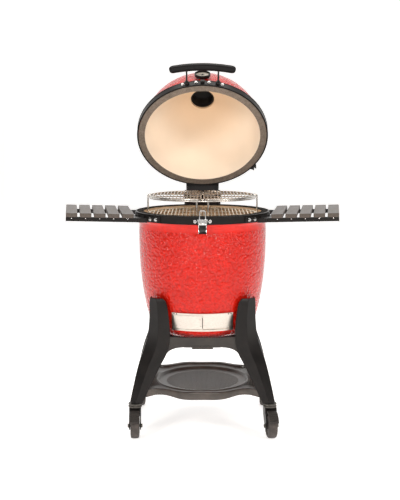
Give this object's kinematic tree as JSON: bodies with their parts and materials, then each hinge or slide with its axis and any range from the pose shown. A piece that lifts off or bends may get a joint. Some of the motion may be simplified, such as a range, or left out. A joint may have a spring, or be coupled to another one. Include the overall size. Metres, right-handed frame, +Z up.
{
  "type": "ceramic kettle grill on cart",
  "caption": "Egg-shaped red ceramic charcoal grill with its lid open, standing on a wheeled steel cart with fold-down slatted side shelves.",
  "frame": {"origin": "on the floor under the middle of the whole object", "axes": "+Z up, +Y to the back where the lid hinge is, +X to the right of someone standing at the front"},
  "size_m": [1.171, 0.6908, 1.4878],
  "materials": {
    "glazed_ceramic": "gloss red glaze over pebbled ceramic",
    "bare_ceramic": "unglazed pale ceramic, matt",
    "felt": "woven fibre seal",
    "black_coated_steel": "black powder coat, satin",
    "cast_iron": "raw casting",
    "stainless": "brushed",
    "grate_steel": "drawn wire, bright",
    "vent_alloy": "black coated casting",
    "handle_grip": "satin black",
    "slat_composite": "grey-brown composite board, fine grain",
    "wheel_rubber": "grey-black rubber",
    "needle_paint": "satin black"
  },
  "bodies": {
    "grill_base": {"base_bowl": "glazed_ceramic", "base_gasket": "felt", "lower_band": "black_coated_steel", "firebox": "bare_ceramic", "fire_ring": "bare_ceramic", "draft_door_frame": "stainless", "hinge_lower_bracket": "black_coated_steel", "hinge_pin": "stainless", "hinge_spring": "stainless", "latch_base": "stainless", "leg_front_left": "black_coated_steel", "leg_front_right": "black_coated_steel", "leg_rear_left": "black_coated_steel", "leg_rear_right": "black_coated_steel", "front_panel": "black_coated_steel", "rear_panel": "black_coated_steel", "saddle_frame": "black_coated_steel", "bottom_shelf": "black_coated_steel", "shelf_bracket_left": "black_coated_steel", "shelf_bracket_right": "black_coated_steel"},
    "lid": {"lid_dome": "glazed_ceramic", "lid_gasket": "felt", "upper_band": "black_coated_steel", "hinge_upper_bracket": "black_coated_steel", "lid_handle": "handle_grip", "vent_base": "vent_alloy", "thermometer_body": "stainless"},
    "vent_cap": {"vent_cap": "vent_alloy"},
    "thermometer_needle": {"thermometer_needle": "needle_paint"},
    "draft_door": {"draft_door": "stainless"},
    "latch_lever": {"latch_lever": "black_coated_steel"},
    "latch_loop": {"latch_loop": "stainless"},
    "charcoal_grate": {"charcoal_grate": "cast_iron"},
    "main_grates": {"main_grate_left": "grate_steel", "main_grate_right": "grate_steel"},
    "rack_frame": {"rack_frame": "grate_steel"},
    "rack_grate_left": {"rack_grate_left": "grate_steel"},
    "rack_grate_right": {"rack_grate_right": "grate_steel"},
    "shelf_left": {"shelf_arms_left": "black_coated_steel", "slat_left_1": "slat_composite", "slat_left_2": "slat_composite", "slat_left_3": "slat_composite", "slat_left_4": "slat_composite", "slat_left_5": "slat_composite"},
    "shelf_right": {"shelf_arms_right": "black_coated_steel", "slat_right_1": "slat_composite", "slat_right_2": "slat_composite", "slat_right_3": "slat_composite", "slat_right_4": "slat_composite", "slat_right_5": "slat_composite"},
    "swivel_front_left": {"caster_fork_front_left": "black_coated_steel"},
    "wheel_front_left": {"caster_wheel_front_left": "wheel_rubber"},
    "brake_front_left": {"brake_pedal_front_left": "black_coated_steel"},
    "swivel_front_right": {"caster_fork_front_right": "black_coated_steel"},
    "wheel_front_right": {"caster_wheel_front_right": "wheel_rubber"},
    "brake_front_right": {"brake_pedal_front_right": "black_coated_steel"},
    "swivel_rear_left": {"caster_fork_rear_left": "black_coated_steel"},
    "wheel_rear_left": {"caster_wheel_rear_left": "wheel_rubber"},
    "swivel_rear_right": {"caster_fork_rear_right": "black_coated_steel"},
    "wheel_rear_right": {"caster_wheel_rear_right": "wheel_rubber"}
  },
  "joints": [
    {"name": "lid_hinge", "type": "hinge", "parent": "grill_base", "child": "lid", "pos_m": [0, 0.31562, 0.928], "axis": [-1, 0, 0], "range_deg": [-51, 0]},
    {"name": "vent_cap_turn", "type": "hinge", "parent": "lid", "child": "vent_cap", "pos_m": [0, 0.05742, 1.1864], "axis": [0, 0.7771, 0.6293], "range_deg": [0, 90]},
    {"name": "needle_turn", "type": "hinge", "parent": "lid", "child": "thermometer_needle", "pos_m": [0, -0.03408, 1.4347], "axis": [0, -0.4005, 0.9163], "range_deg": [0, 270]},
    {"name": "draft_door_slide", "type": "hinge", "parent": "grill_base", "child": "draft_door", "pos_m": [0, -0.04768, 0.466], "axis": [0, 0, 1], "range_deg": [0, 28]},
    {"name": "latch_lever_hinge", "type": "hinge", "parent": "grill_base", "child": "latch_lever", "pos_m": [0, -0.33828, 0.861], "axis": [-1, 0, 0], "range_deg": [0, 100]},
    {"name": "latch_loop_hinge", "type": "hinge", "parent": "latch_lever", "child": "latch_loop", "pos_m": [0, -0.34378, 0.862], "axis": [1, 0, 0], "range_deg": [0, 100]},
    {"name": "charcoal_grate_lift", "type": "slide", "parent": "grill_base", "child": "charcoal_grate", "axis": [0, 0, 1], "range_m": [0, 0.02]},
    {"name": "main_grates_lift", "type": "slide", "parent": "grill_base", "child": "main_grates", "axis": [0, -0.5, 0.866], "range_m": [0, 0.1]},
    {"name": "rack_lift", "type": "slide", "parent": "main_grates", "child": "rack_frame", "axis": [0, -0.5, 0.866], "range_m": [0, 0.08]},
    {"name": "rack_grate_left_lift", "type": "slide", "parent": "rack_frame", "child": "rack_grate_left", "axis": [0, -0.5, 0.866], "range_m": [0, 0.06]},
    {"name": "rack_grate_right_lift", "type": "slide", "parent": "rack_frame", "child": "rack_grate_right", "axis": [0, -0.5, 0.866], "range_m": [0, 0.06]},
    {"name": "shelf_left_fold", "type": "hinge", "parent": "grill_base", "child": "shelf_left", "pos_m": [-0.27165, -0.04251, 0.86435], "axis": [0.1357, -0.9907, 0], "range_deg": [0, 90]},
    {"name": "shelf_right_fold", "type": "hinge", "parent": "grill_base", "child": "shelf_right", "pos_m": [0.27165, -0.04251, 0.86435], "axis": [0.1357, 0.9907, 0], "range_deg": [0, 90]},
    {"name": "swivel_front_left", "type": "hinge", "parent": "grill_base", "child": "swivel_front_left", "pos_m": [-0.269, -0.23968, 0.13], "axis": [0, 0, 1], "continuous": true},
    {"name": "roll_front_left", "type": "hinge", "parent": "swivel_front_left", "child": "wheel_front_left", "pos_m": [-0.26809, -0.26566, 0.049], "axis": [0.9994, 0.0349, 0], "continuous": true},
    {"name": "brake_front_left", "type": "hinge", "parent": "swivel_front_left", "child": "brake_front_left", "pos_m": [-0.26795, -0.26966, 0.1075], "axis": [0.9994, 0.0349, 0], "range_deg": [-10, 0]},
    {"name": "swivel_front_right", "type": "hinge", "parent": "grill_base", "child": "swivel_front_right", "pos_m": [0.269, -0.23968, 0.13], "axis": [0, 0, 1], "continuous": true},
    {"name": "roll_front_right", "type": "hinge", "parent": "swivel_front_right", "child": "wheel_front_right", "pos_m": [0.27307, -0.26536, 0.049], "axis": [0.9877, 0.1564, 0], "continuous": true},
    {"name": "brake_front_right", "type": "hinge", "parent": "swivel_front_right", "child": "brake_front_right", "pos_m": [0.27369, -0.26931, 0.1075], "axis": [0.9877, 0.1564, 0], "range_deg": [-10, 0]},
    {"name": "swivel_rear_left", "type": "hinge", "parent": "grill_base", "child": "swivel_rear_left", "pos_m": [-0.269, 0.14432, 0.13], "axis": [0, 0, 1], "continuous": true},
    {"name": "roll_rear_left", "type": "hinge", "parent": "swivel_rear_left", "child": "wheel_rear_left", "pos_m": [-0.27441, 0.16975, 0.049], "axis": [-0.9781, -0.2079, 0], "continuous": true},
    {"name": "swivel_rear_right", "type": "hinge", "parent": "grill_base", "child": "swivel_rear_right", "pos_m": [0.269, 0.14432, 0.13], "axis": [0, 0, 1], "continuous": true},
    {"name": "roll_rear_right", "type": "hinge", "parent": "swivel_rear_right", "child": "wheel_rear_right", "pos_m": [0.27351, 0.16993, 0.049], "axis": [-0.9848, 0.1736, 0], "continuous": true}
  ],
  "couplings": [
    {"joint": "latch_loop_hinge", "follows": "latch_lever_hinge", "ratio": 1}
  ]
}
